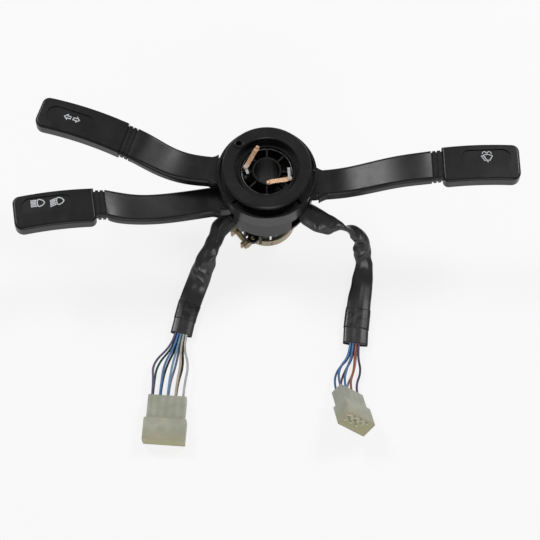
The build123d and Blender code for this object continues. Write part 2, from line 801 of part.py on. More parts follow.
def make_plunger_spring(stalk):
    """The coil spring behind the plunger, in the bore of the gimbal's tail."""
    start = plunger_from + plunger_length + spring_wire_r + 0.02
    room = bore_end - start - spring_wire_r - 0.02
    base = Plane(origin=stalk.plane.from_local_coords((start, 0, 0)), z_dir=stalk.plane.x_dir)
    with BuildPart() as spring:
        with BuildLine():
            coil = Helix(pitch=room / spring_turns, height=room, radius=spring_r)
        with BuildSketch(Plane(origin=coil @ 0, z_dir=coil % 0)):
            Circle(spring_wire_r)
        sweep(path=coil, is_frenet=True)
    return base.location * spring.part


for stalk in stalks:
    save(make_carrier(stalk), f"{stalk.name}_gimbal")
    save(make_tip_pin(stalk), f"{stalk.name}_tip_pin")
    save(make_plunger(stalk), f"{stalk.name}_detent_plunger")
    save(make_plunger_spring(stalk), f"{stalk.name}_plunger_spring")

# ---------------------------------------------------------------- stalk arms
cheek_in = 6.2
cheek_back = 6.0
slot_front = carrier_front + 1.0
root_start = 11.0
arm_t_root = boss_t + 1.4
arm_t_neck = 10.0
arm_edge = 2.6
arm_shares = (0, 0.12, 0.3, 0.5, 0.75)
flare_t = boss_t + 1.9
flare_upper = 7.0      # how far the shoulder's flare runs out along the arm's two edges
flare_lower = 10.0
flare_steps = 4
neck_length = 8.8
groove_depth = 1.3
rib_depth = 0.25
groove_share = 0.15    # of the neck's length, for each of its three grooves
tongue_length = 13.0
tongue_width = 13.0
tongue_t = 5.4


def section_plane(position, tangent):
    """A plane across an arm, square to its run, with its X axis level."""
    side = Vector(0, 0, 1).cross(tangent).normalized()
    return Plane(origin=position, x_dir=side, z_dir=tangent)


def grip_base(stalk):
    """The plane at a grip's neck end: X along the grip, Z out of its top face."""
    start, end = Vector(*stalk.grip["start"]), Vector(*stalk.grip["end"])
    along = (end - start).normalized()
    side = Vector(0, 0, 1).cross(along).normalized()
    return Plane(origin=start + Vector(0, 0, stalk.level), x_dir=along, z_dir=along.cross(side))


def grip_length(stalk):
    return math.dist(stalk.grip["start"], stalk.grip["end"])


def neck_run(stalk):
    """The neck's run, from the arm to the middle of its end in the grip's base plane."""
    base = grip_base(stalk)
    end = base.from_local_coords((0, stalk.upper * stalk.neck["shift"], 0))
    way = base.x_dir + base.y_dir * (4 * stalk.grip["bow"] / grip_length(stalk))
    return end - way.normalized() * neck_length, end


def arm_spine(stalk):
    """An arm's centre line, level through the root and then up towards the wheel, to its neck."""
    start = stalk.plane.from_local_coords((root_start, 0, 0))
    points = [start] + [Vector(x, y, stalk.level + rise) for x, y, rise in stalk.spine]
    neck_start, neck_end = neck_run(stalk)
    way = (neck_end - neck_start).normalized()
    return Spline(*points, neck_start, tangents=[stalk.plane.x_dir, way])


def flare_edge(reach, run_out):
    """Half the shoulder's width at a reach from its back, on the edge that runs out in run_out."""
    sunk = root_width / 2 - 0.4
    return sunk + (flare_half - sunk) * max(0, 1 - reach / run_out) ** 2


def make_arm(stalk):
    """A glass-filled nylon lever: forked root, flared shoulder, swept arm and ribbed neck."""
    spine = arm_spine(stalk)
    width_root, width_neck = root_width - 0.2, stalk.neck["width"]
    base = grip_base(stalk)
    neck_start, neck_end = neck_run(stalk)
    run = neck_end - neck_start
    with BuildPart() as arm:
        for share in arm_shares:
            with BuildSketch(section_plane(spine @ share, spine % share)):
                RectangleRounded(
                    width_root + (width_neck - width_root) * share,
                    arm_t_root + (arm_t_neck - arm_t_root) * share, arm_edge,
                )
        with BuildSketch(section_plane(neck_start, base.x_dir)):
            RectangleRounded(width_neck, arm_t_neck, arm_edge)
        loft()
        # the flared shoulder that hides the window
        for step in range(flare_steps + 1):
            reach = flare_lower * step / flare_steps
            up, down = flare_edge(reach, flare_upper), flare_edge(reach, flare_lower)
            centre = stalk.plane.from_local_coords((flare_back + reach, stalk.upper * (up - down) / 2, 0))
            with BuildSketch(Plane(origin=centre, x_dir=stalk.plane.y_dir, z_dir=stalk.plane.x_dir)):
                RectangleRounded(up + down, flare_t - 0.06 * reach, arm_edge)
        loft()
        # the root inside the housing: a round boss with a slot for the gimbal
        with BuildSketch(stalk.plane.offset(-boss_t / 2)):
            Circle(boss_width / 2)
            with Locations((root_start / 2 + 0.5, 0)):
                Rectangle(root_start + 1.0, boss_width)
            with Locations((-boss_width / 2 - cheek_back, 0)):
                Rectangle(boss_width, 2 * boss_width, mode=Mode.SUBTRACT)
        extrude(amount=boss_t)
        with BuildSketch(stalk.plane.offset(-boss_t)):
            with Locations((slot_front - 10, 0)):
                RectangleRounded(20, 2 * cheek_in, 1.8)
        extrude(amount=2 * boss_t, mode=Mode.SUBTRACT)
        with BuildSketch(Plane(origin=stalk.plane.origin, x_dir=stalk.plane.x_dir, z_dir=stalk.plane.y_dir)):
            Circle(tip_pin_r + pivot_fit)
        extrude(amount=boss_width, both=True, mode=Mode.SUBTRACT)
        # the neck: two raised ribs between three grooves, and the tongue inside the grip
        at = 0.0
        for index in range(5):
            groove = index % 2 == 0
            inset = groove_depth if groove else rib_depth
            share = groove_share if groove else (1 - 3 * groove_share) / 2
            with BuildSketch(section_plane(neck_start + run * at, base.x_dir)):
                RectangleRounded(width_neck - 2 * inset, arm_t_neck - 1.4 * inset, arm_edge - inset / 2)
            extrude(amount=run.length * share, dir=run.normalized())
            at += share
        with BuildSketch(section_plane(base.origin, base.x_dir)):
            RectangleRounded(tongue_width, tongue_t, 1.2)
        extrude(amount=tongue_length)
    return arm.part


# ---------------------------------------------------------------- grips
grip_t = 12.0
grip_edge = 2.0
grip_edge_under = 1.5
tip_upper_r = 6.0      # corner radii of a grip's outline
tip_lower_r = 7.0
pad_length = 40.0
pad_width = 15.0
pad_end = 6.8          # from the pad to the grip's tip
pad_depth = 0.9        # at the pad's upper edge


def make_grip(stalk):
    """The moulded handle pressed on the arm's tongue, gently curved, with a sunk pad for its symbols."""
    base, length = grip_base(stalk), grip_length(stalk)
    half, bow, heel = stalk.grip["width"] / 2, stalk.grip["bow"], stalk.grip["heel"]
    corners = [(-1, stalk.upper, tip_upper_r), (-1, -stalk.upper, tip_lower_r)]
    if heel > 0:
        corners.append((0, -stalk.upper, heel))
    with BuildPart() as grip:
        with BuildSketch(base.offset(-grip_t / 2)) as outline:
            with BuildLine():
                ThreePointArc((0, half), (length / 2, half + bow), (length, half))
                Line((length, half), (length, -half))
                ThreePointArc((length, -half), (length / 2, -half + bow), (0, -half))
                Line((0, -half), (0, half))
            make_face()
            for end, side, radius in corners:
                pair = outline.vertices().group_by(Axis.X)[end].sort_by(Axis.Y)
                fillet(pair[-1 if side > 0 else 0], radius)
        extrude(amount=grip_t)
        for end, radius in ((-1, grip_edge), (0, grip_edge_under)):
            edges = grip.faces().sort_by(Axis(base.origin, base.z_dir))[end].edges()
            fillet(edges.filter_by(lambda e: base.to_local_coords(e.center()).X > 0.5), radius)
        # the pad's floor leans, deepest at its upper edge
        lean = math.radians(stalk.pad["lean"])
        upper_edge = stalk.upper * (stalk.pad["shift"] + pad_width / 2)
        middle = length - pad_end - pad_length / 2
        floor = Plane(
            origin=base.from_local_coords((middle, upper_edge, grip_t / 2 - pad_depth)), x_dir=base.x_dir,
            z_dir=base.z_dir * math.cos(lean) + base.y_dir * (stalk.upper * math.sin(lean)),
        )
        with BuildSketch(floor):
            with Locations((0, -stalk.upper * pad_width / 2)):
                SlotOverall(pad_length, pad_width)
        extrude(amount=2 * pad_depth + 1, mode=Mode.SUBTRACT)
        with BuildSketch(section_plane(base.origin, base.x_dir)):
            RectangleRounded(tongue_width + 2 * fit, tongue_t + 2 * fit, 1.2)
        extrude(amount=tongue_length + 0.3, mode=Mode.SUBTRACT)
    return grip.part


for stalk in stalks:
    save(make_arm(stalk), f"{stalk.name}_arm")
    save(make_grip(stalk), f"{stalk.name}_grip")

# ---------------------------------------------------------------- contacts
leaf_t = 0.3
plate_t = 0.6
foot_gap = 0.1
plate_in_r = hub_r + 1.1
plate_out_r = 27.2
leaf_half = 4.6


def make_moving_contact(stalk):
    """The copper bridge on a gimbal's flat side, with two feet that wipe the contact plate."""
    side = 1 if stalk is light else -1
    face = side * carrier_t / 2
    if stalk is light:
        plate_face = deck_bottom - plate_t - stalk.level
    else:
        plate_face = deck_top + plate_t - stalk.level
    with BuildPart() as bridge:
        with BuildSketch(stalk.plane.offset(face)):
            with Locations((0.4, 0)):
                RectangleRounded(11.4, 2 * leaf_half, 1.0)
            Circle(trunnion_r + pivot_fit, mode=Mode.SUBTRACT)
        extrude(amount=side * leaf_t)
        with BuildSketch(stalk.plane.offset(face)):
            with Locations((-4.3, -2.9), (-4.3, 2.9)):
                RectangleRounded(1.8, 1.8, 0.4)
        extrude(amount=plate_face - face - side * foot_gap)
    return bridge.part


for stalk in stalks:
    save(make_moving_contact(stalk), f"{stalk.name}_contact_bridge")

with BuildPart() as upper_contact_plate:
    with BuildSketch(Plane.XY.offset(deck_top + fit)):
        Circle(plate_out_r)
        Circle(plate_in_r, mode=Mode.SUBTRACT)
        for stalk in (turn, wiper):
            with Locations((stalk.plane.origin.X, stalk.plane.origin.Y)):
                Circle(trunnion_r + 0.5, mode=Mode.SUBTRACT)
    extrude(amount=plate_t - fit)

save(upper_contact_plate.part, "upper_contact_plate")

with BuildPart() as lower_contact_plate:
    with BuildSketch(Plane.XY.offset(deck_bottom - plate_t)):
        Circle(plate_out_r)
        Circle(plate_in_r, mode=Mode.SUBTRACT)
        with BuildLine():
            Polyline((0, 0), around(60, 130), around(90, 195), around(60, 260), close=True)
        make_face(mode=Mode.INTERSECT)
        with Locations((light.plane.origin.X, light.plane.origin.Y)):
            Circle(trunnion_r + 0.5, mode=Mode.SUBTRACT)
    extrude(amount=plate_t - fit)

save(lower_contact_plate.part, "lower_contact_plate")


# ---------------------------------------------------------------- wire tails
def turn_radii(points):
    """A fillet radius for each corner of a cord's route, as large as its two runs allow."""
    radii = []
    for before, here, after in zip(points, points[1:], points[2:]):
        first, second = Vector(*here) - Vector(*before), Vector(*after) - Vector(*here)
        half = math.radians(first.get_angle(second)) / 2
        radii.append(0.45 * min(first.length, second.length) / math.tan(half))
    return radii


def make_cord(points, radius, name):
    """A round cord along a filleted route; prints its tightest bend and checks its volume."""
    radii = turn_radii(points)
    with BuildPart() as cord:
        with BuildLine() as route:
            FilletPolyline(*points, radius=radii)
        path = route.wire()
        with BuildSketch(Plane(origin=path @ 0, z_dir=path % 0)):
            Circle(radius)
        sweep(path=path)
    share = cord.part.volume / (math.pi * radius**2 * path.length)
    print(f"{name} length {path.length:.1f} tightest {min(radii):.1f} volume share {share:.4f}")
    return cord.part


sleeve_z = sleeve_r + 0.2
duct_start = duct_end - 9.0
left_route = (
    around(duct_start, duct_heading, duct_level), around(duct_end + 7.5, duct_heading, duct_level),
    (-49.5, -44.5, 36.0), (-53.6, -54.6, 21.5), (-58.4, -65.0, 9.5), (-63.2, -77.5, sleeve_z + 0.2),
    (-67.6, -91.0, sleeve_z), (-70.7, -105.3, sleeve_z),
)
outlet_level = (right_exit_bottom + right_exit_top) / 2
right_route = (
    around(33.0, -33.0, outlet_level), (41.5, -26.6, outlet_level - 0.6), (57.0, -28.6, 54.5),
    (73.5, -29.4, 41.5), (81.3, -34.6, 26.5), (79.6, -44.0, 12.5), (78.7, -56.5, sleeve_z + 0.8),
    (76.9, -74.0, sleeve_z), (74.2, -94.0, sleeve_z + 0.1), (71.9, -114.0, sleeve_z),
)
save(make_cord(left_route, sleeve_r, "left_sleeve"), "left_sleeve")
save(make_cord(right_route, sleeve_r, "right_sleeve"), "right_sleeve")

# ---------------------------------------------------------------- connectors
rear_height = connector_t - 2 * connector_step
rear_margin = 5.8      # how much wider the wire end is than its row of cavities
shroud_extra = 3.4
cavity_w = 4.2
way_w = 3.0
cavity_depth = 8.0
terminal_start = 2.0
barrel_w = 2.2
blade_w = 2.2
blade_t = 0.8
left_ways = 5
right_ways = 4

left_housing = Plane(origin=(-80.21, -159.9, 7.6), x_dir=(0.9976, -0.07, 0), z_dir=(-0.07, -0.9976, 0))
right_housing = Plane(
    origin=(64.9, -158.3, 11.5), x_dir=(0.762, -0.212, -0.614), z_dir=(0.167, -0.850, 0.501)
)
rear_pitch = 5.4


def cavities(ways):
    """The places of a connector's ways across its wire end, upper row first."""
    rows = (rear_pitch / 2, -rear_pitch / 2)
    return [((column - (ways - 1) / 2) * cavity_pitch, row) for row in rows for column in range(ways)]


def make_connector(place, ways, length):
    """A nylon plug body: square wire cavities at the back, a wider shroud round the blades in front."""
    rear_w = (ways - 1) * cavity_pitch + rear_margin
    shroud_w = rear_w + shroud_extra
    with BuildPart() as body:
        with BuildSketch(place):
            RectangleRounded(rear_w, rear_height, 0.8)
        extrude(amount=length - shroud_length + 1)
        with BuildSketch(place.offset(length - shroud_length)):
            RectangleRounded(shroud_w, connector_t, 1.0)
        extrude(amount=shroud_length)
        with BuildSketch(place.offset(length)):
            RectangleRounded(shroud_w - 2 * connector_wall, connector_t - 2 * connector_wall, 0.6)
        extrude(amount=-mouth_depth, mode=Mode.SUBTRACT)
        with BuildSketch(place):
            with Locations(*cavities(ways)):
                Rectangle(cavity_w, cavity_w)
        extrude(amount=cavity_depth, mode=Mode.SUBTRACT)
        with BuildSketch(place):
            with Locations(*cavities(ways)):
                Rectangle(way_w, way_w)
        extrude(amount=length, mode=Mode.SUBTRACT)
        # the locking ramp on the wire part's flat side
        ramp = length - shroud_length
        with BuildSketch(Plane(origin=place.origin, x_dir=place.z_dir, z_dir=-place.x_dir)):
            with BuildLine():
                Polyline((ramp - 9, rear_height / 2 - 0.2), (ramp - 4, rear_height / 2 + 1.4),
                         (ramp - 4, rear_height / 2 - 0.2), close=True)
            make_face()
        extrude(amount=3.2, both=True)
    return body.part


def make_terminals(place, spots, length):
    """One plated terminal per wire: a crimp barrel, a box that fits its way, and a flat blade."""
    with BuildPart() as terminals:
        with BuildSketch(place.offset(terminal_start)):
            with Locations(*spots):
                Rectangle(barrel_w, barrel_w)
        extrude(amount=7)
        with BuildSketch(place.offset(cavity_depth + 0.6)):
            with Locations(*spots):
                Rectangle(way_w - 2 * fit, way_w - 2 * fit)
        extrude(amount=length - mouth_depth - cavity_depth - 1.2)
        with BuildSketch(place.offset(length - mouth_depth - 1)):
            with Locations(*spots):
                Rectangle(blade_w, blade_t)
        extrude(amount=mouth_depth - 1.4)
    return terminals.part


left_spots = cavities(left_ways)[:9]
right_spots = cavities(right_ways)[:7]
save(make_connector(left_housing, left_ways, left_length), "left_connector")
save(make_connector(right_housing, right_ways, right_length), "right_connector")
terminal_sets = Compound(
    make_terminals(left_housing, left_spots, left_length).solids()
    + make_terminals(right_housing, right_spots, right_length).solids()
)
save(terminal_sets, "connector_terminals")

# ---------------------------------------------------------------- wires
wire_pitch = 2.35
wire_row = 1.3


def wire_route(start, along, place, spot, bow, lift):
    """A wire's route from its place in a sleeve's end to the back of its terminal."""
    end = place.from_local_coords((spot[0], spot[1], terminal_start))
    begin = Vector(*start)
    first = begin + along * 11
    last = end - place.z_dir * 13
    middle = first + (last - first) * 0.48 + Vector(bow, 0, lift)
    return [tuple(p) for p in (begin, first, middle, last, end)]


def sleeve_end(route, across, up):
    """A wire's place in the end face of a sleeve, and the way the sleeve points there."""
    end, before = Vector(*route[-1]), Vector(*route[-2])
    along = (end - before).normalized()
    side = along.cross(Vector(0, 0, 1)).normalized()
    return end - side * across + side.cross(along) * up, along


left_names = ("violet", "blue", "pale_blue", "beige", "grey", "green", "black_striped", "lilac", "black")
left_bows = (-9.0, -3.5, -1.0, 1.6, 4.0, -6.0, -2.2, 1.0, 3.0)
for index, name in enumerate(left_names):
    column = index if index < 5 else index - 4.5
    row = wire_row if index < 5 else -wire_row
    start, along = sleeve_end(left_route, (column - 2) * wire_pitch, row)
    route = wire_route(start, along, left_housing, left_spots[index], left_bows[index], -0.4)
    save(make_cord(route, wire_r, f"left_wire_{name}"), f"left_wire_{name}")

right_names = ("blue_a", "blue_b", "orange", "purple", "blue_c", "brown", "white")
right_bows = (-3.0, -1.0, 1.5, 4.0, -4.0, -1.5, 2.5)
for index, name in enumerate(right_names):
    column = index if index < 4 else index - 3.5
    row = wire_row if index < 4 else -wire_row
    start, along = sleeve_end(right_route, (column - 1.5) * wire_pitch, row)
    route = wire_route(start, along, right_housing, right_spots[index], right_bows[index], -0.4)
    save(make_cord(route, wire_r, f"right_wire_{name}"), f"right_wire_{name}")
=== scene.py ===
import math

import bmesh
import bpy
from mathutils import Matrix, Vector


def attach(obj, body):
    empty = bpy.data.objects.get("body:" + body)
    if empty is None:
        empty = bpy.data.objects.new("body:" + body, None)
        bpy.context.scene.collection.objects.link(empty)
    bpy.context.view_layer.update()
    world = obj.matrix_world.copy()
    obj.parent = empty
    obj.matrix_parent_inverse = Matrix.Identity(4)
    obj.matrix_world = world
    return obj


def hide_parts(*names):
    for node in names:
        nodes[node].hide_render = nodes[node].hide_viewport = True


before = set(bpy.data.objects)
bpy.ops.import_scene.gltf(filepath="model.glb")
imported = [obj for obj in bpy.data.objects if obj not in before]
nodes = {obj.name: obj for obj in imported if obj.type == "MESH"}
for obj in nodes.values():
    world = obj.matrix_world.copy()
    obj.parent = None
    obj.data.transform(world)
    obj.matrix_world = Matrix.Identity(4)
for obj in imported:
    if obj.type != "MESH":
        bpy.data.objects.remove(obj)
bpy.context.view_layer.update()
bpy.ops.object.select_all(action="DESELECT")

# ---------------------------------------------------------------- camera
# A long lens on a stand, looking down at the hub from the driver's side, a little over a metre
# away, so that the stalks hardly converge.
bpy.ops.object.camera_add(location=(0.0025, -0.5382, 1.2361), rotation=(math.radians(21.717), 0, 0))
camera = bpy.context.object
camera.name = "bench_camera"
camera.data.sensor_width = 36
camera.data.lens = 105.49
camera.data.clip_end = 20
bpy.context.scene.camera = camera
bpy.context.scene.view_settings.view_transform = "Standard"


# ---------------------------------------------------------------- floor, backdrop and lamps
# A pale bench top that runs on to a white backdrop, with two soft lamps behind the switch, which
# leave a gleam where the stalks rise, and a weak one in front. Every surface here and below is a
# Finish: one Principled shader, worked out from the piece's own coordinates.
class Field:
    """A value that changes over a surface. Sums, differences and products of fields add Math nodes."""

    def __init__(self, finish, socket):
        self.finish = finish
        self.socket = socket

    def math(self, operation, *terms):
        return self.finish.add("ShaderNodeMath", {"operation": operation}, dict(enumerate(terms)))

    def __add__(self, other):
        return self.math("ADD", self, other)

    def __radd__(self, other):
        return self.math("ADD", other, self)

    def __sub__(self, other):
        return self.math("SUBTRACT", self, other)

    def __rsub__(self, other):
        return self.math("SUBTRACT", other, self)

    def __mul__(self, other):
        return self.math("MULTIPLY", self, other)

    def __rmul__(self, other):
        return self.math("MULTIPLY", other, self)

    def between(self, low, high):
        """0 below low, 1 above high, and a smooth step in between."""
        limits = {"Value": self, "From Min": low, "From Max": high}
        return self.finish.add("ShaderNodeMapRange", {"interpolation_type": "SMOOTHSTEP"}, limits)


class Finish:
    """A material on one Principled shader."""

    def __init__(self, name, **sockets):
        self.material = bpy.data.materials.new(name)
        self.material.use_nodes = True
        self.tree = self.material.node_tree
        self.shader = self.tree.nodes["Principled BSDF"]
        self.set(**sockets)

    def add(self, kind, settings, values, output=0):
        """Adds a node with its settings, and the values or links of its sockets."""
        node = self.tree.nodes.new(kind)
        for key, value in settings.items():
            if key == "stops":
                ramp = node.color_ramp
                while len(ramp.elements) < len(value):
                    ramp.elements.new(0.5)
                for element, (place, colour) in zip(ramp.elements, value):
                    element.position = place
                    element.color = (*colour, 1)
            else:
                setattr(node, key, value)
        for key, value in values.items():
            if isinstance(value, Field):
                self.tree.links.new(value.socket, node.inputs[key])
            else:
                node.inputs[key].default_value = value
        return Field(self, node.outputs[output])

    def set(self, **sockets):
        """Sets the shader's own sockets to fields, colours or numbers."""
        for key, value in sockets.items():
            socket = self.shader.inputs[key.replace("_", " ").title().replace("Ior", "IOR")]
            if isinstance(value, Field):
                self.tree.links.new(value.socket, socket)
            elif hasattr(value, "__len__") and len(value) == 3:
                socket.default_value = (*value, 1)
            else:
                socket.default_value = value

    def place(self, stretch=(1, 1, 1)):
        """The piece's own coordinates, in metres, stretched."""
        here = self.add("ShaderNodeTexCoord", {}, {}, "Object")
        return self.add("ShaderNodeMapping", {}, {"Vector": here, "Scale": stretch})

    def noise(self, size, detail=2.0, where=None, roughness=0.5):
        """Cloudy noise with lumps of a size in millimetres, about 0 to 1."""
        where = where or self.place()
        values = {"Vector": where, "Scale": 1000 / size, "Detail": detail, "Roughness": roughness}
        return self.add("ShaderNodeTexNoise", {}, values)

    def mix(self, mask, first, second):
        """A colour that goes from the first to the second as the mask goes from 0 to 1."""
        node = self.add("ShaderNodeMix", {"data_type": "RGBA"}, {0: mask}, 2).socket.node
        for socket, colour in ((node.inputs[6], first), (node.inputs[7], second)):
            if isinstance(colour, Field):
                self.tree.links.new(colour.socket, socket)
            else:
                socket.default_value = (*colour, 1)
        return Field(self, node.outputs[2])

    def relief(self, height, depth):
        """Raises the surface by height, from 0 to 1, times a depth in millimetres."""
        self.set(normal=self.add("ShaderNodeBump", {}, {"Height": height, "Distance": depth / 1000}))


bench_width = 8
bench_seen, bench_mirrored = 0.82, 0.5   # share of plain white, to the camera and in gloss or glass
sky_on_switch, sky_seen = 0.27, 0.95     # the world's strength on the switch, and behind it
lamp_aim = Vector((0, 0, 0.07))

bpy.ops.mesh.primitive_plane_add(size=bench_width, location=(0, 0, 0))
bench = bpy.context.object
bench.name = "bench_top"
bench_finish = Finish("bench_paper", roughness=0.9, base_color=(0.86, 0.86, 0.86))
bench_tree = bench_finish.tree
rays = bench_finish.add("ShaderNodeLightPath", {}, {}, "Is Camera Ray")
glossy_rays = bench_finish.add("ShaderNodeLightPath", {}, {}, "Is Glossy Ray")
clear_rays = bench_finish.add("ShaderNodeLightPath", {}, {}, "Is Transmission Ray")
mirrored = glossy_rays.math("MAXIMUM", glossy_rays, clear_rays)
lit = rays.math("MAXIMUM", rays * bench_seen, mirrored * bench_mirrored)
white = bench_tree.nodes.new("ShaderNodeEmission")
bench_mix = bench_tree.nodes.new("ShaderNodeMixShader")
bench_tree.links.new(lit.socket, bench_mix.inputs[0])
bench_tree.links.new(bench_finish.shader.outputs[0], bench_mix.inputs[1])
bench_tree.links.new(white.outputs[0], bench_mix.inputs[2])
bench_tree.links.new(bench_mix.outputs[0], bench_tree.nodes["Material Output"].inputs["Surface"])
bench.data.materials.append(bench_finish.material)

world = bpy.data.worlds.new("studio")
bpy.context.scene.world = world
world.use_nodes = True
sky = world.node_tree.nodes["Background"]
sky.inputs["Color"].default_value = (1, 1, 1, 1)
sky_rays = world.node_tree.nodes.new("ShaderNodeLightPath")
sky_level = world.node_tree.nodes.new("ShaderNodeMapRange")
sky_level.inputs["To Min"].default_value = sky_on_switch
sky_level.inputs["To Max"].default_value = sky_seen
world.node_tree.links.new(sky_rays.outputs["Is Camera Ray"], sky_level.inputs["Value"])
world.node_tree.links.new(sky_level.outputs["Result"], sky.inputs["Strength"])

for name, spot, size, power in (
    ("left_soft_box", Vector((-0.80, 0.66, 1.28)), (0.4, 0.4), 8.6),
    ("right_soft_box", Vector((0.80, 0.66, 1.28)), (0.4, 0.4), 8.6),
    ("front_fill", Vector((0.15, -1.5, 0.8)), (0.9, 0.7), 6.0),
):
    aimed = (lamp_aim - spot).to_track_quat("-Z", "Y").to_euler()
    bpy.ops.object.light_add(type="AREA", location=spot, rotation=aimed)
    lamp = bpy.context.object
    lamp.name = name
    lamp.data.shape = "RECTANGLE"
    lamp.data.size, lamp.data.size_y = size
    lamp.data.energy = power


# ---------------------------------------------------------------- plugs and terminals
# Two plug bodies moulded in natural nylon, milky, so that the wire cavities show faintly through.
# The light through the thin walls of the mouth is painted: a paler tint towards the mouth and a faint
# painted glow inside it. Tinned terminals are pushed in from behind.
# Each plug: the middle of its back, its direction across and forwards, its length, half its mouth.
plugs = {
    "left": (
        Vector((-0.08021, -0.1599, 0.0076)), Vector((0.9976, -0.07, 0)), Vector((-0.07, -0.9976, 0)),
        0.038, 0.01635,
    ),
    "right": (
        Vector((0.0649, -0.1583, 0.0115)), Vector((0.762, -0.212, -0.614)), Vector((0.167, -0.850, 0.501)),
        0.036, 0.0132,
    ),
}
cavity_pitch = 0.0063
rear_top = 0.00585        # from the plug's middle to the flat face of its back part
shroud_length = 0.0185
mouth_half = 0.0061
mouth_depth = 0.0125
moulded_edge = 0.00025
weld = 0.000002           # corners closer than this are one corner


def finish_nodes(finish, names):
    """Give every material slot of these CAD pieces one finish."""
    for name in names:
        for slot in nodes[name].material_slots:
            slot.material = finish.material


def plug_nylon(name, origin=None, across=None, forward=None, length=0.0, inner_half=0.0):
    """Natural nylon. A plug's is told where the plug lies, so that its mouth can be given a paler tint and
    a painted glow, standing in for light through its thin walls.
    """
    nylon = Finish(name, roughness=0.34, base_color=(0.42, 0.43, 0.35), ior=1.53)
    nylon.set(subsurface_weight=0.15, subsurface_scale=0.004)
    cloud = nylon.noise(9, 3)
    fine = nylon.noise(0.5, 2)
    colour = nylon.mix(cloud.between(0.35, 0.7), (0.365, 0.38, 0.295), (0.45, 0.455, 0.36))
    if origin:
        here = nylon.add("ShaderNodeVectorMath", {"operation": "SUBTRACT"}, {0: nylon.place(), 1: origin})

        def measured(direction):
            dot = {"operation": "DOT_PRODUCT"}
            return nylon.add("ShaderNodeVectorMath", dot, {0: here, 1: direction}, "Value")

        def within(distance, half):
            return 1 - distance.math("ABSOLUTE", distance).between(half, half + 0.0002)

        along, sideways, upwards = measured(forward), measured(across), measured(forward.cross(across))
        # painted light: over the last 12 mm towards the mouth the nylon is made paler and warmer, as if lit
        # through its thin walls
        colour = nylon.mix(along.between(length - 0.012, length) * 0.7, colour, (0.44, 0.42, 0.28))
        turn = sideways * (2 * math.pi / cavity_pitch)
        shroud = along.between(length - shroud_length - 0.001, length - shroud_length)
        ribs = (turn.math("COSINE", turn) * 0.5 + 0.5) * (1 - shroud)
        colour = nylon.mix(ribs * 0.3, colour, (0.25, 0.26, 0.225))
        # painted glow: inside the mouth, within its width and height, the nylon emits a faint warm light of
        # its own, in place of light coming through its thin walls
        lip = along.between(length - 0.0003, length - 0.0001)
        mouth = along.between(length - mouth_depth, length - mouth_depth + 0.001) * (1 - lip)
        mouth_painted_glow = mouth * within(sideways, inner_half) * within(upwards, mouth_half)
        nylon.set(emission_color=nylon.mix(mouth_painted_glow, (0, 0, 0), (0.165, 0.16, 0.105)), emission_strength=1.0)
    nylon.set(base_color=colour, roughness=cloud * 0.2 + 0.26)
    nylon.relief(fine * 0.5 + cloud, 0.05)
    return nylon


for side, (origin, across, forward, length, inner_half) in plugs.items():
    across, forward = across.normalized(), forward.normalized()
    upward = forward.cross(across)
    body = nodes[f"{side}_connector"].copy()
    body.data = body.data.copy()
    body.name = body.data.name = f"{side}_plug_body"
    bpy.context.collection.objects.link(body)
    bpy.ops.object.select_all(action="DESELECT")
    body.select_set(True)
    bpy.context.view_layer.objects.active = body
    bpy.ops.object.mode_set(mode="EDIT")
    bpy.ops.mesh.select_all(action="SELECT")
    bpy.ops.mesh.remove_doubles(threshold=weld)
    bpy.ops.object.mode_set(mode="OBJECT")
    # the side that lies uppermost is plain, so the locking ramp there is pressed level with it
    for vertex in body.data.vertices:
        proud = (vertex.co - origin).dot(upward) - rear_top
        if proud > 0.00005 and (vertex.co - origin).dot(forward) < length - shroud_length - 0.0005:
            vertex.co -= upward * proud
    bpy.ops.object.mode_set(mode="EDIT")
    bpy.ops.mesh.select_all(action="SELECT")
    bpy.ops.mesh.remove_doubles(threshold=weld)
    bpy.ops.mesh.dissolve_limited(angle_limit=math.radians(0.3))
    bpy.ops.object.mode_set(mode="OBJECT")
    bevel = body.modifiers.new("moulded_edges", "BEVEL")
    bevel.width = moulded_edge
    bevel.segments = 2
    bevel.angle_limit = math.radians(50)
    bpy.ops.object.modifier_apply(modifier="moulded_edges")
    bpy.ops.object.shade_smooth_by_angle(angle=math.radians(35))
    body.data.materials.clear()
    nylon = plug_nylon(f"{side}_plug_nylon", origin, across, forward, length, inner_half)
    body.data.materials.append(nylon.material)
    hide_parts(f"{side}_connector")
    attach(body, "housing")
bpy.ops.object.select_all(action="DESELECT")
finish_nodes(plug_nylon("natural_nylon"), ("cancel_pawl", "turn_gimbal", "light_gimbal", "wiper_gimbal"))

tin = Finish("tin_plate", roughness=0.3, base_color=(0.72, 0.72, 0.70), metallic=1.0)
tin_cloud = tin.noise(1.2, 3)
tin.set(
    roughness=tin_cloud * 0.3 + 0.2,
    base_color=tin.mix(tin_cloud, (0.55, 0.55, 0.53), (0.8, 0.8, 0.79)),
)
finish_nodes(tin, ("connector_terminals", "outer_horn_terminal", "inner_horn_terminal"))


# ---------------------------------------------------------------- sleeves
# Two thin-walled vinyl tubes that carry the wires out of the housing. They lie flat, fold over
# where they turn, and a turn of tape closes each one near its open end.
def route_points(name, points):
    """The smooth line through a route's control points, as evenly fine points in metres."""
    data = bpy.data.curves.new(name, "CURVE")
    data.dimensions = "3D"
    data.resolution_u = 24
    spline = data.splines.new("NURBS")
    spline.points.add(len(points) - 1)
    for point, place in zip(spline.points, points):
        point.co = (*place, 1)
    spline.order_u = 3
    spline.use_endpoint_u = True
    line = bpy.data.objects.new(name, data)
    bpy.context.collection.objects.link(line)
    mesh = bpy.data.meshes.new_from_object(line)
    path = [v.co.copy() for v in mesh.vertices]
    bpy.data.objects.remove(line)
    bpy.data.meshes.remove(mesh)
    return path


def along_path(path):
    """The share of the path's length at which each of its points lies, and that length."""
    reached = [0.0]
    for here, after in zip(path, path[1:]):
        reached.append(reached[-1] + (after - here).length)
    return [r / reached[-1] for r in reached], reached[-1]


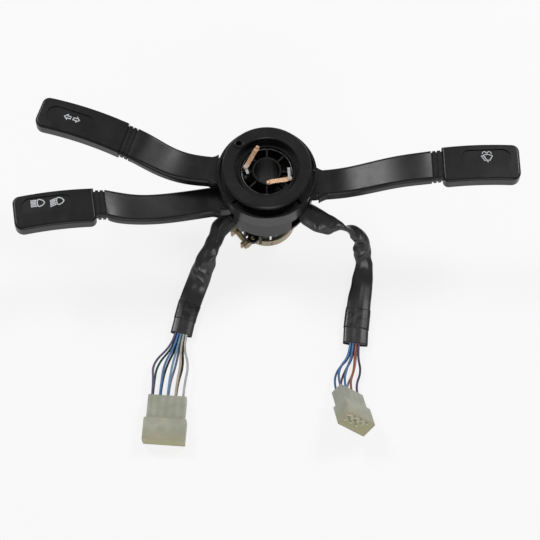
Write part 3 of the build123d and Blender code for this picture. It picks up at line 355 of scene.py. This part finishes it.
def value_at(stops, share):
    """Reads a smooth run of values at shares of a length."""
    for (s0, v0), (s1, v1) in zip(stops, stops[1:]):
        if share <= s1:
            t = max(0.0, (share - s0) / (s1 - s0))
            t = t * t * (3 - 2 * t)
            return v0 + (v1 - v0) * t
    return stops[-1][1]


def flat_tube(name, path, shape, creases=(), ridges=(), ring=96, start=0.0, end=1.0, proud=0.0):
    """A flattened tube along a path. Its shape gives, at shares of the length, its width, thickness
    and shift to the side in millimetres, and its lean about the path in degrees."""
    shares, length = along_path(path)
    outward = Vector((0, -0.37, 0.93))
    mesh = bpy.data.meshes.new(name)
    piece = bpy.data.objects.new(name, mesh)
    bpy.context.collection.objects.link(piece)
    bm = bmesh.new()
    uv = bm.loops.layers.uv.new("wrap")
    rows = []
    for index, (share, here) in enumerate(zip(shares, path)):
        if not start <= share <= end:
            continue
        before, after = path[max(0, index - 1)], path[min(len(path) - 1, index + 1)]
        forward = (after - before).normalized()
        side = forward.cross(outward).normalized()
        middle = here + side * value_at(shape["shift"], share) / 1000
        top = side.cross(forward).normalized()
        turned = Matrix.Rotation(math.radians(value_at(shape["lean"], share)), 3, forward)
        side, top = turned @ side, turned @ top
        half_w = value_at(shape["width"], share) / 2000 + proud
        half_t = value_at(shape["thick"], share) / 2000 + proud
        row = []
        for step in range(ring):
            a = 2 * math.pi * step / ring
            c, s = math.cos(a), math.sin(a)
            x = math.copysign(abs(c) ** 0.85, c) * half_w
            z = math.copysign(abs(s) ** 0.7, s) * half_t
            # shallow hollows between the wires, then the folds across and along the tube
            z *= 1 - 0.03 * math.cos(3 * math.pi * c) * math.sin(a) ** 2
            push = 0.0
            for spot, reach, slant, depth in creases:
                d = (share - spot) * length * 1000 - slant * c
                push -= depth * math.exp(-abs(d) / reach)
            for first, last, c_first, c_last, height, reach in ridges:
                t = (share - first) / (last - first)
                if 0 < t < 1:
                    centre = c_first + (c_last - c_first) * t
                    push += height * math.sin(math.pi * t) * math.exp(-abs(c - centre) / reach)
            z += math.copysign(push / 1000, s) * abs(s) ** 1.2
            row.append((bm.verts.new(middle + side * x + top * z), share * length, step / ring))
        rows.append(row)
    for row, following in zip(rows, rows[1:]):
        for step in range(ring):
            corners = (row[step], row[(step + 1) % ring], following[(step + 1) % ring], following[step])
            face = bm.faces.new([c[0] for c in corners])
            face.smooth = True
            for loop, corner, edge in zip(face.loops, corners, (0, 1, 1, 0)):
                loop[uv].uv = (corner[1], (step + edge) / ring)
    bm.normal_update()
    bm.to_mesh(mesh)
    bm.free()
    return piece


def thicken(piece, wall):
    """Gives an open tube a wall of its own, inwards, in millimetres."""
    bpy.ops.object.select_all(action="DESELECT")
    piece.select_set(True)
    bpy.context.view_layer.objects.active = piece
    bpy.ops.object.mode_set(mode="EDIT")
    bpy.ops.mesh.select_all(action="SELECT")
    bpy.ops.mesh.normals_make_consistent(inside=False)
    bpy.ops.object.mode_set(mode="OBJECT")
    solid = piece.modifiers.new("wall", "SOLIDIFY")
    solid.thickness = wall / 1000
    solid.offset = -1
    bpy.ops.object.modifier_apply(modifier="wall")
    bpy.ops.object.select_all(action="DESELECT")


tubing = Finish("vinyl_tubing", roughness=0.36, base_color=(0.026, 0.027, 0.026), specular_ior_level=0.6)
tubing_place = tubing.add("ShaderNodeTexCoord", {}, {}, "UV")
tubing_run = tubing.add("ShaderNodeMapping", {}, {"Vector": tubing_place, "Scale": (60, 26, 1)})
tubing_draw = tubing.add("ShaderNodeTexNoise", {}, {"Vector": tubing_run, "Scale": 1.0, "Detail": 2.0})
tubing_cloud = tubing.noise(7, 3)
tubing_dust = tubing.noise(0.5, 2)
tubing.set(
    base_color=tubing.mix(tubing_cloud.between(0.35, 0.75), (0.021, 0.022, 0.021), (0.034, 0.035, 0.034)),
    roughness=tubing_cloud * 0.14 + tubing_dust * 0.06 + 0.20,
)
tubing.relief(tubing_draw * 0.5 + tubing_cloud * 0.8 + tubing_dust * 0.04, 0.025)

left_route = [
    (-0.01923, -0.01502, 0.0432), (-0.03223, -0.02518, 0.0432), (-0.0495, -0.0445, 0.036),
    (-0.0536, -0.0546, 0.0215), (-0.0584, -0.065, 0.0092), (-0.0632, -0.0775, 0.0058),
    (-0.0676, -0.091, 0.0052), (-0.0707, -0.1053, 0.005),
]
right_route = [
    (0.02768, -0.01797, 0.0624), (0.0415, -0.0266, 0.0618), (0.057, -0.0286, 0.0545),
    (0.0735, -0.0294, 0.0415), (0.0813, -0.0346, 0.0265), (0.0796, -0.044, 0.0125),
    (0.0787, -0.0565, 0.0064), (0.0769, -0.074, 0.0056), (0.0742, -0.094, 0.0054),
    (0.0719, -0.114, 0.0052),
]
sleeve_shapes = {
    "left": dict(
        width=((0, 13), (0.1, 15), (0.18, 15.5), (0.27, 13.4), (0.34, 13.8), (0.44, 17.4), (0.6, 18.6),
               (0.75, 18.6), (0.86, 17.8), (1, 18)),
        thick=((0, 10), (0.2, 8), (0.35, 6), (0.5, 6), (0.8, 5.6), (1, 6)),
        shift=((0, 0), (0.1, 4.4), (0.18, 4.6), (0.27, 1.0), (0.34, -0.8), (0.44, -1.2), (0.52, 0),
               (0.7, 0.7), (1, 0)),
        lean=((0, 0), (0.2, -14), (0.32, 12), (0.45, -6), (0.7, 0), (1, 0)),
    ),
    "right": dict(
        width=((0, 15), (0.05, 18.4), (0.1, 18.6), (0.16, 16.4), (0.21, 13), (0.27, 11), (0.34, 11.5),
               (0.4, 12.5), (0.46, 15), (0.55, 14.2), (0.65, 17.6), (0.75, 19.4), (0.85, 20.4), (1, 20.6)),
        thick=((0, 10), (0.1, 7), (0.2, 4.2), (0.3, 4), (0.4, 5), (0.5, 6), (0.65, 6), (1, 6)),
        shift=((0, 0), (0.05, 0.8), (0.12, 1.5), (0.18, 1.6), (0.27, 0), (0.4, 0), (0.45, 2.0), (0.5, 1.2),
               (0.56, -1.5), (0.66, -0.9), (0.76, 0), (0.9, 0), (1, -0.6)),
        lean=((0, -12), (0.17, 6), (0.265, 96), (0.33, 170), (0.40, 215), (0.47, 170), (0.56, 180),
              (1, 180)),
    ),
}
# folds across: share of the length, reach, slant and depth in millimetres
sleeve_creases = {
    "left": (
        (0.33, 6.0, 6.0, 1.7), (0.42, 5.0, 8.0, -1.5), (0.495, 4.0, -4.0, -1.6), (0.56, 4.5, -7.0, -1.2),
    ),
    "right": (
        (0.075, 7.0, 7.0, 2.0), (0.15, 6.0, -6.0, -1.4), (0.375, 5.0, -4.0, 2.3), (0.475, 4.0, -6.0, 1.7),
    ),
}
# folds along: first and last share, where across they start and end (-1 to 1), height, reach
sleeve_ridges = {
    "left": ((0.06, 0.31, 0.75, -0.4, 1.9, 0.2), (0.52, 0.76, -0.74, -0.8, 0.5, 0.12)),
    "right": ((0.02, 0.24, -0.4, 0.5, 1.4, 0.25), (0.56, 0.8, -0.1, -0.04, 0.8, 0.18)),
}
sleeve_wall, tape_wall = 0.45, 0.3   # in millimetres, as thicken() takes them
tape_proud = 0.00035                 # in metres: how far the tape stands out from its sleeve
sleeve_cords = {}
for side, route, length in (("left", left_route, 0.1193), ("right", right_route, 0.1591)):
    path = route_points(f"{side}_sleeve_line", route)
    folds = (sleeve_creases[side], sleeve_ridges[side])
    tube = flat_tube(f"{side}_vinyl_sleeve", path, sleeve_shapes[side], *folds)
    thicken(tube, sleeve_wall)
    tube.data.materials.append(tubing.material)
    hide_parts(f"{side}_sleeve")
    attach(tube, "housing")
    sleeve_cords[side] = (tube, path, route, length)

tape_finish = Finish("vinyl_tape", roughness=0.3, base_color=(0.016, 0.016, 0.017), specular_ior_level=0.5)
tape_cloud = tape_finish.noise(5, 4, roughness=0.6)
tape_blot = tape_finish.noise(4.5, 3).between(0.42, 0.6)
tape_finish.set(
    base_color=tape_finish.mix(tape_blot, (0.013, 0.013, 0.014), (0.026, 0.026, 0.026)),
    roughness=tape_cloud * 0.2 + tape_blot * 0.14 + 0.18,
)
tape_finish.relief(tape_cloud + tape_blot * 0.3, 0.05)
for side, start, end in (("left", 0.765, 0.895), ("right", 0.80, 0.915)):
    tube, path, route, length = sleeve_cords[side]
    tape = flat_tube(f"{side}_tape_band", path, sleeve_shapes[side], start=start, end=end, proud=tape_proud)
    thicken(tape, tape_wall)
    tape.data.materials.append(tape_finish.material)
    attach(tape, "housing")

# ---------------------------------------------------------------- wires
# Sixteen leads of stranded copper in extruded coloured insulation. They leave a sleeve's end in
# two layers, fan out, and each is crimped to a terminal in its own cavity at the back of a plug.
wire_colours = {
    "violet": (0.12, 0.075, 0.18), "blue": (0.07, 0.19, 0.43), "pale_blue": (0.15, 0.33, 0.50),
    "beige": (0.55, 0.47, 0.34), "grey": (0.48, 0.49, 0.50), "green": (0.02, 0.13, 0.07),
    "black": (0.02, 0.02, 0.02), "orange": (0.42, 0.11, 0.055), "brown": (0.33, 0.09, 0.05),
    "white": (0.72, 0.72, 0.70), "purple": (0.10, 0.06, 0.16), "lilac": (0.27, 0.25, 0.42),
}
wire_finishes = {}
for name, colour in wire_colours.items():
    finish = Finish(f"wire_{name}", roughness=0.38, base_color=colour)
    cloud = finish.noise(5, 2)
    darker = tuple(c * 0.72 for c in colour)
    finish.set(base_color=finish.mix(cloud.between(0.3, 0.7), darker, colour), roughness=cloud * 0.2 + 0.28)
    finish.relief(finish.noise(0.8, 2), 0.03)
    wire_finishes[name] = finish

striped = Finish("wire_black_striped", roughness=0.38)
stripe_place = striped.add("ShaderNodeTexCoord", {}, {}, "UV")
stripe_turn = striped.add("ShaderNodeSeparateXYZ", {}, {"Vector": stripe_place}, 1)
stripe_mask = stripe_turn.between(0.40, 0.42) * (1 - stripe_turn.between(0.56, 0.58))
striped.set(base_color=striped.mix(stripe_mask, (0.02, 0.02, 0.02), (0.6, 0.6, 0.58)))
wire_finishes["black_striped"] = striped

lead_radius = 0.00095
sleeve_level = 0.0062                     # height of a sleeve's end over the bench
lead_pitch, layer_half = 0.00235, 0.0013  # how the leads lie in a sleeve's end
cavity_row_half = 0.0027
lead_inside = 0.002                       # how far a lead goes into its cavity
straight_out, straight_in = 0.011, 0.013  # the straight runs at a sleeve and at a plug
middle_share, lead_sag = 0.48, 0.0004     # how far along its middle lies, and how far it sags there
# each side: its ways in a row, and each lead with how far it bows to the side, in millimetres
wire_runs = (
    ("left", 5, (("violet", -9.0), ("blue", -3.5), ("pale_blue", -1.0), ("beige", 1.6), ("grey", 4.0),
                 ("green", -6.0), ("black_striped", -2.2), ("lilac", 1.0), ("black", 3.0))),
    ("right", 4, (("blue_a", -3.0), ("blue_b", -1.0), ("orange", 1.5), ("purple", 4.0),
                  ("blue_c", -4.0), ("brown", -1.5), ("white", 2.5))),
)
for side, ways, wires in wire_runs:
    route = sleeve_cords[side][2]
    origin, across, forward = plugs[side][:3]
    across, forward = across.normalized(), forward.normalized()
    upward = forward.cross(across)
    mouth, before = Vector(route[-1]), Vector(route[-2])
    mouth.z = before.z = sleeve_level
    leaving = (mouth - before).normalized()
    level = leaving.cross(Vector((0, 0, 1))).normalized()
    for index, (name, bow) in enumerate(wires):
        row = 1 if index < ways else -1
        column = index if index < ways else index - ways
        from_middle = column - (ways - 1) / 2
        stagger = 0 if row > 0 else 0.5
        start = mouth - level * (from_middle + stagger) * lead_pitch
        start = start + Vector((0, 0, row * layer_half))
        cavity = across * from_middle * cavity_pitch + upward * row * cavity_row_half
        end = origin + cavity + forward * lead_inside
        first = start + leaving * straight_out
        last = end - forward * straight_in
        middle = first + (last - first) * middle_share + Vector((bow / 1000, 0, -lead_sag))
        spots = (start, first, middle, last, end)
        data = bpy.data.curves.new(f"{side}_lead_{name}", "CURVE")
        data.dimensions = "3D"
        data.resolution_u = 12
        data.bevel_depth = lead_radius
        data.bevel_resolution = 3
        spline = data.splines.new("NURBS")
        spline.points.add(4)
        for point, spot in zip(spline.points, spots):
            point.co = (*spot, 1)
        spline.order_u = 3
        spline.use_endpoint_u = True
        lead = bpy.data.objects.new(f"{side}_lead_{name}", data)
        bpy.context.collection.objects.link(lead)
        key = name.split("_")[0] if name[-2:] in ("_a", "_b", "_c") else name
        data.materials.append(wire_finishes[key].material)
        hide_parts(f"{side}_wire_{name}")
        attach(lead, "housing")
        # a lead is a little shorter than the line through its control points: by a rough share
        run = sum((b - a).length for a, b in zip(spots, spots[1:]))

# ---------------------------------------------------------------- housing, collar, ring and arms
# Glass-filled nylon mouldings, screwed together round the column, and the three arms. Satin black
# with a fine spark-eroded grain, and a little paler where hands and tools have rubbed them.
moulded = Finish(
    "black_moulded_nylon", roughness=0.42, base_color=(0.013, 0.0135, 0.013), specular_ior_level=0.36,
)
moulded_cloud = moulded.noise(14, 3)
moulded_grain = moulded.noise(0.45, 2)
moulded_rub = moulded.noise(3.5, 2)
moulded_pale = moulded_cloud.between(0.35, 0.75)
moulded.set(
    base_color=moulded.mix(moulded_pale, (0.006, 0.0063, 0.006), (0.011, 0.0115, 0.011)),
    roughness=moulded_cloud * 0.1 + moulded_grain * 0.04 + moulded_rub * 0.03 + 0.235,
)
moulded.relief(moulded_grain + moulded_cloud * 0.3, 0.014)
finish_nodes(moulded, (
    "column_collar", "lower_housing", "upper_housing", "bearing_ring", "contact_carrier", "cancel_ring",
    "turn_arm", "light_arm", "wiper_arm",
))

# ---------------------------------------------------------------- handles
# Three handles of softer polypropylene, pushed on to the arms' ends, with a finer and closer grain
# than the arms and patches polished by fingers.
grained = Finish(
    "grip_polypropylene", roughness=0.46, base_color=(0.012, 0.0125, 0.012), specular_ior_level=0.34,
)
grained_cloud = grained.noise(18, 3)
grained_cell = grained.add(
    "ShaderNodeTexVoronoi", {"feature": "SMOOTH_F1"}, {"Vector": grained.place(), "Scale": 2600.0},
)
grained_smear = grained.noise(6, 4, where=grained.place((1, 0.35, 1)), roughness=0.6)
grained_pale = grained_cloud.between(0.3, 0.75)
grained.set(
    base_color=grained.mix(grained_pale, (0.006, 0.0063, 0.006), (0.010, 0.0105, 0.010)),
    roughness=grained_smear * 0.14 + grained_cloud * 0.08 + 0.19,
)
grained.relief(grained_cell * 0.7 + grained_cloud * 0.4, 0.012)
finish_nodes(grained, ("turn_grip", "light_grip", "wiper_grip"))


# ---------------------------------------------------------------- symbols on the handles
# Turn arrows, the two lamp beams, and wiper with washer, pad-printed in pale grey ink on the sunk
# floor of each handle, where they are read from the driver's side.
def printed(outline, stroke=None):
    """A raised film of ink inside an outline in millimetres, or only a line of that width along it."""
    bpy.ops.object.select_all(action="DESELECT")
    bpy.ops.mesh.primitive_circle_add(vertices=len(outline), radius=0.001, fill_type="NGON")
    shape = bpy.context.object
    for vertex, (x, y) in zip(shape.data.vertices, outline):
        vertex.co = (x / 1000, y / 1000, 0)
    bpy.ops.object.mode_set(mode="EDIT")
    bpy.ops.mesh.select_all(action="SELECT")
    if stroke:
        bpy.ops.mesh.inset(thickness=stroke / 1000, depth=0)
        bpy.ops.mesh.delete(type="FACE")
        bpy.ops.mesh.select_all(action="SELECT")
    bpy.ops.mesh.extrude_region_move(TRANSFORM_OT_translate={"value": (0, 0, ink_thickness)})
    bpy.ops.mesh.select_all(action="SELECT")
    bpy.ops.mesh.normals_make_consistent(inside=False)
    bpy.ops.object.mode_set(mode="OBJECT")
    return shape


def moved(outline, right, up, scale=1.0):
    """An outline scaled, then moved to the right and up."""
    return [(x * scale + right, y * scale + up) for x, y in outline]


def ribbon(points, width):
    """The outline of a line of a width through points."""
    sides = ([], [])
    for index, here in enumerate(points):
        before, after = points[max(0, index - 1)], points[min(len(points) - 1, index + 1)]
        run = (Vector(after) - Vector(before)).normalized() * width / 2
        sides[0].append((here[0] - run.y, here[1] + run.x))
        sides[1].append((here[0] + run.y, here[1] - run.x))
    return sides[1] + sides[0][::-1]


# outlines in millimetres
arrow = ((3.2, 0), (-0.2, 3.05), (-0.2, 1.4), (-3.0, 1.4), (-3.0, -1.4), (-0.2, -1.4), (-0.2, -3.05))
lamp_half = (
    (3.4, 0), (2.9, 1.1), (2.0, 2.15), (0.8, 3.0), (-0.6, 3.55), (-1.9, 3.6), (-2.7, 3.0),
    (-3.15, 1.7), (-3.3, 0),
)
lamp_glass = lamp_half + tuple((x, -y) for x, y in lamp_half[-2:0:-1])
screen = ((2.3, -3.4), (5.0, 1.4), (2.6, 2.7), (0, 3.1), (-2.6, 2.7), (-5.0, 1.4), (-2.3, -3.4), (0, -2.9))
spray = ((0.25, 3.5), (0.7, 4.8), (1.9, 5.5), (3.1, 4.9), (3.8, 3.3))
boss_radius = 0.6
wiper_boss = tuple(
    (boss_radius * math.cos(a * math.pi / 6), boss_radius * math.sin(a * math.pi / 6)) for a in range(12)
)


def beam(right, up, slope):
    """Five short lines of light beside a lamp's glass."""
    bars = []
    for line in range(-2, 3):
        y = line * 1.32 + up
        near, far = right + 0.28 * abs(line) - 0.2, right - 4.5
        drop = slope * (near - far)
        bar = ((far, y - 0.5 - drop), (near, y - 0.5), (near, y + 0.5), (far, y + 0.5 - drop))
        bars.append((bar, None))
    return bars


# each symbol: its outlines, each with the width of its line, or None where it is filled
symbols = {
    "turn": [(moved([(-x, y) for x, y in arrow][::-1], -3.05, 1.2), 0.8), (moved(arrow, 4.45, 1.2), 0.8)],
    "light": [(moved(lamp_glass, -4.4, 2.6), 0.9), (moved(lamp_glass, 10.9, 2.3), 0.9)]
    + beam(-8.0, 2.6, 0.0) + beam(7.3, 2.3, 0.35),
    "wiper": [
        (moved(screen, 1.0, 0.8, 0.96), 0.75), (moved(wiper_boss, 1.4, -3.1), None),
        (ribbon(((-1.9, 2.9), (1.4, -3.1)), 0.8), None),
        (moved(ribbon(spray, 0.75), 1.0, 0.8, 0.96), None),
        (moved(ribbon([(-x, y) for x, y in spray], 0.75), 1.0, 0.8, 0.96), None),
    ],
}
# the sunk floor of each handle: its middle, its direction to the right, and outwards
pad_floors = {
    "turn": (
        Vector((-0.156963, 0.042101, 0.104864)), Vector((0.9489, -0.3121, -0.0458)),
        Vector((0.0517, 0.0106, 0.9986)),
    ),
    "light": (
        Vector((-0.174284, -0.026783, 0.091288)), Vector((0.9869, 0.1534, -0.0496)),
        Vector((0.0382, 0.0765, 0.9963)),
    ),
    "wiper": (
        Vector((0.172511, 0.004655, 0.110983)), Vector((0.9996, 0.0246, 0.0164)),
        Vector((-0.0181, 0.0693, 0.9974)),
    ),
}
ink_thickness, ink_sunk = 0.0001, 0.00002
ink = Finish("pale_grey_ink", roughness=0.5, base_color=(0.56, 0.57, 0.59))
ink_cloud = ink.noise(1.6, 3)
ink.set(
    base_color=ink.mix(ink_cloud.between(0.3, 0.7), (0.47, 0.48, 0.50), (0.62, 0.63, 0.65)),
    roughness=ink_cloud * 0.2 + 0.4,
)
ink.relief(ink.noise(0.3, 2), 0.02)
for name, shapes in symbols.items():
    prints = [printed(outline, stroke) for outline, stroke in shapes]
    bpy.ops.object.select_all(action="DESELECT")
    for print_ in prints:
        print_.select_set(True)
    bpy.context.view_layer.objects.active = prints[0]
    bpy.ops.object.join()
    symbol = prints[0]
    symbol.name = symbol.data.name = f"{name}_symbols"
    floor, right, out = pad_floors[name]
    up = out.cross(right).normalized()
    right = up.cross(out).normalized()
    turned = Matrix((right, up, out)).transposed().to_4x4()
    symbol.data.transform(Matrix.Translation(floor - out.normalized() * ink_sunk) @ turned)
    symbol.data.materials.append(ink.material)
    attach(symbol, f"{name}_stalk")
bpy.ops.object.select_all(action="DESELECT")

# ---------------------------------------------------------------- metal parts
# A yellow-passivated steel clamp round the collar, bright zinc-plated screws, pins and coil
# springs, a wire ring made dark all over as painted shade of its groove, bronze contact leaves, and the
# dark boards that they wipe.
clamp_zinc = Finish("yellow_passivated_zinc", roughness=0.34, metallic=0.9, base_color=(0.42, 0.39, 0.24))
clamp_cloud = clamp_zinc.noise(7, 3)
clamp_bands = clamp_zinc.add(
    "ShaderNodeValToRGB",
    {"stops": (
        (0.3, (0.36, 0.36, 0.20)), (0.45, (0.46, 0.41, 0.24)), (0.55, (0.50, 0.36, 0.30)),
        (0.7, (0.40, 0.40, 0.24)),
    )},
    {"Fac": clamp_cloud},
)
clamp_zinc.set(base_color=clamp_bands, roughness=clamp_zinc.noise(1.5, 2) * 0.3 + 0.22)
finish_nodes(clamp_zinc, ("clamp_band", "clamp_nut", "clamp_screw"))

bright = Finish("bright_zinc", roughness=0.28, metallic=1.0, base_color=(0.6, 0.61, 0.63))
bright_cloud = bright.noise(2.5, 3)
bright.set(
    base_color=bright.mix(bright_cloud.between(0.3, 0.7), (0.50, 0.51, 0.53), (0.64, 0.65, 0.67)),
    roughness=bright_cloud * 0.3 + 0.15,
)
finish_nodes(bright, (
    "housing_screws", "turn_tip_pin", "light_tip_pin", "wiper_tip_pin",
    "turn_plunger_spring", "light_plunger_spring", "wiper_plunger_spring",
))

# painted shade: the ring's spring steel is made very dark all over, for the shade of the groove it lies in
groove_shaded_steel = Finish("groove_shaded_spring_steel", roughness=0.34, metallic=0.9, base_color=(0.09, 0.09, 0.095))
groove_shaded_cloud = groove_shaded_steel.noise(3, 3)
groove_shaded_steel.set(
    base_color=groove_shaded_steel.mix(groove_shaded_cloud.between(0.3, 0.7), (0.07, 0.07, 0.075), (0.13, 0.13, 0.135)),
    roughness=groove_shaded_cloud * 0.3 + 0.2,
)
finish_nodes(groove_shaded_steel, ("retaining_ring",))

bronze = Finish("spring_bronze", roughness=0.46, metallic=0.6, base_color=(0.66, 0.42, 0.26))
bronze_cloud = bronze.noise(2.5, 3)
bronze.set(
    base_color=bronze.mix(bronze_cloud.between(0.3, 0.7), (0.56, 0.34, 0.20), (0.74, 0.49, 0.32)),
    roughness=bronze_cloud * 0.25 + 0.34,
)
bronze.relief(bronze.noise(1.0, 3, where=bronze.place((1, 1, 0.2))), 0.02)
finish_nodes(bronze, (
    "outer_horn_finger", "inner_horn_finger",
    "turn_contact_bridge", "light_contact_bridge", "wiper_contact_bridge",
    "turn_detent_plunger", "light_detent_plunger", "wiper_detent_plunger",
))

board = Finish("contact_board", roughness=0.5, base_color=(0.03, 0.022, 0.018))
board_cloud = board.noise(3, 3)
board.set(
    base_color=board.mix(board_cloud, (0.022, 0.017, 0.014), (0.045, 0.032, 0.025)),
    roughness=board_cloud * 0.2 + 0.4,
)
finish_nodes(board, ("upper_contact_plate", "lower_contact_plate"))
